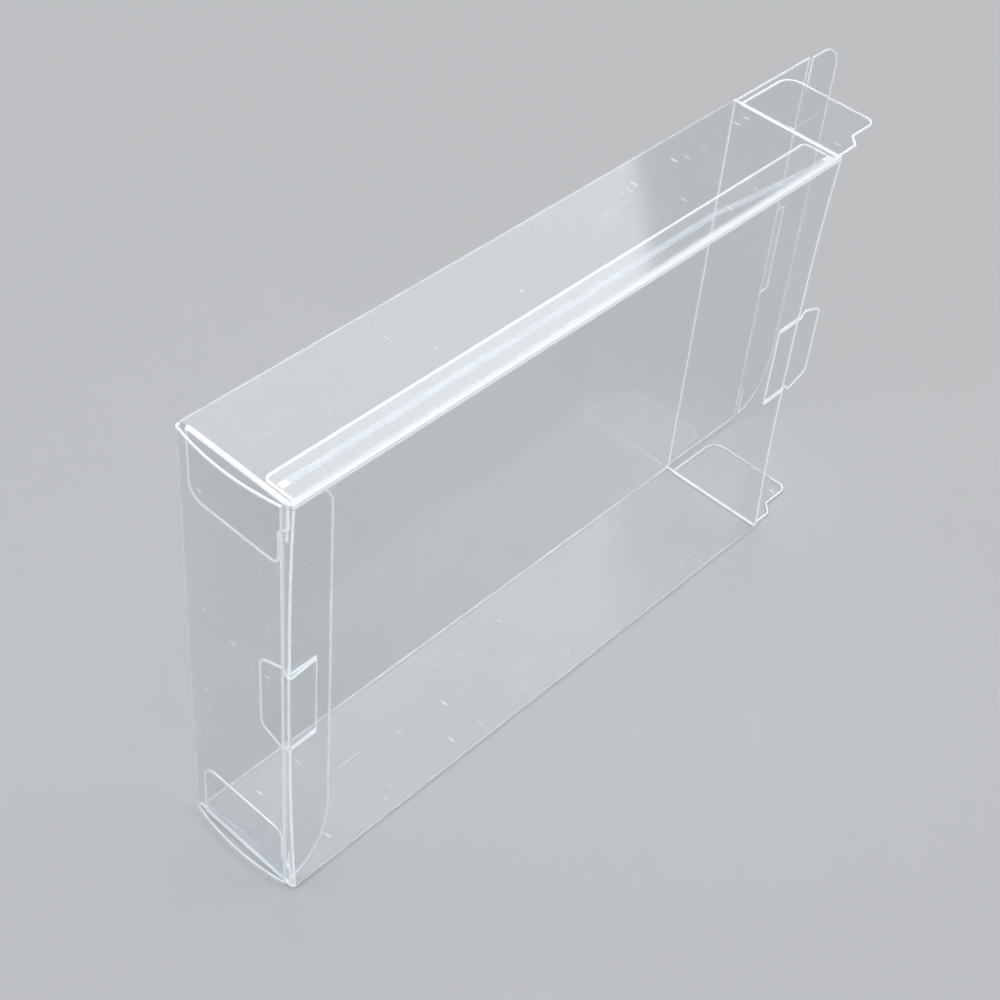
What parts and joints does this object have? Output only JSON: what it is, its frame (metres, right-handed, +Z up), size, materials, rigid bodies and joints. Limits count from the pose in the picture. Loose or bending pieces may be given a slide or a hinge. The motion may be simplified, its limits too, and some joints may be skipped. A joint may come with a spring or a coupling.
{
  "type": "game box protector",
  "caption": "Clear folding film box that sleeves a boxed game, closed and locked at the near end and open at the far end, with lid, tuck, dust flaps and lock tab.",
  "frame": {"origin": "middle of the underside of the bottom panel, on the surface the box stands on", "axes": "+X along the length towards the open end, +Y from the front panel to the back panel, +Z up"},
  "size_m": [0.2365, 0.035, 0.132],
  "materials": {
    "film": "clear gloss film",
    "glue": "dried clear glue"
  },
  "bodies": {
    "sleeve": {"shell": "film", "seam_glue": "glue"},
    "lid": {"end_lid": "film"},
    "tuck": {"tuck_flap": "film"},
    "top_dust": {"top_dust_flap": "film"},
    "bottom_dust": {"bottom_dust_flap": "film"},
    "bridge": {"tab_bridge": "film"},
    "tab": {"lock_tab": "film"}
  },
  "joints": [
    {"name": "lid_fold", "type": "hinge", "parent": "sleeve", "child": "lid", "pos_m": [0.09385, 0.0173, 0.066], "axis": [0, 0, -1], "range_deg": [-100, 90]},
    {"name": "tuck_fold", "type": "hinge", "parent": "lid", "child": "tuck", "pos_m": [0.12625, 0.0173, 0.066], "axis": [0, 0, -1], "range_deg": [-60, 90]},
    {"name": "top_dust_fold", "type": "hinge", "parent": "sleeve", "child": "top_dust", "pos_m": [0.0932, 0, 0.1318], "axis": [0, 1, 0], "range_deg": [-90, 90]},
    {"name": "bottom_dust_fold", "type": "hinge", "parent": "sleeve", "child": "bottom_dust", "pos_m": [0.0932, 0, 0.0002], "axis": [0, -1, 0], "range_deg": [-90, 90]},
    {"name": "bridge_fold", "type": "hinge", "parent": "sleeve", "child": "bridge", "pos_m": [0.08455, -0.0158, 0.066], "axis": [0, 0, 1], "range_deg": [-30, 0]},
    {"name": "tab_fold", "type": "hinge", "parent": "bridge", "child": "tab", "pos_m": [0.0929, -0.0158, 0.066], "axis": [0, 0, 1], "range_deg": [-45, 90]}
  ]
}
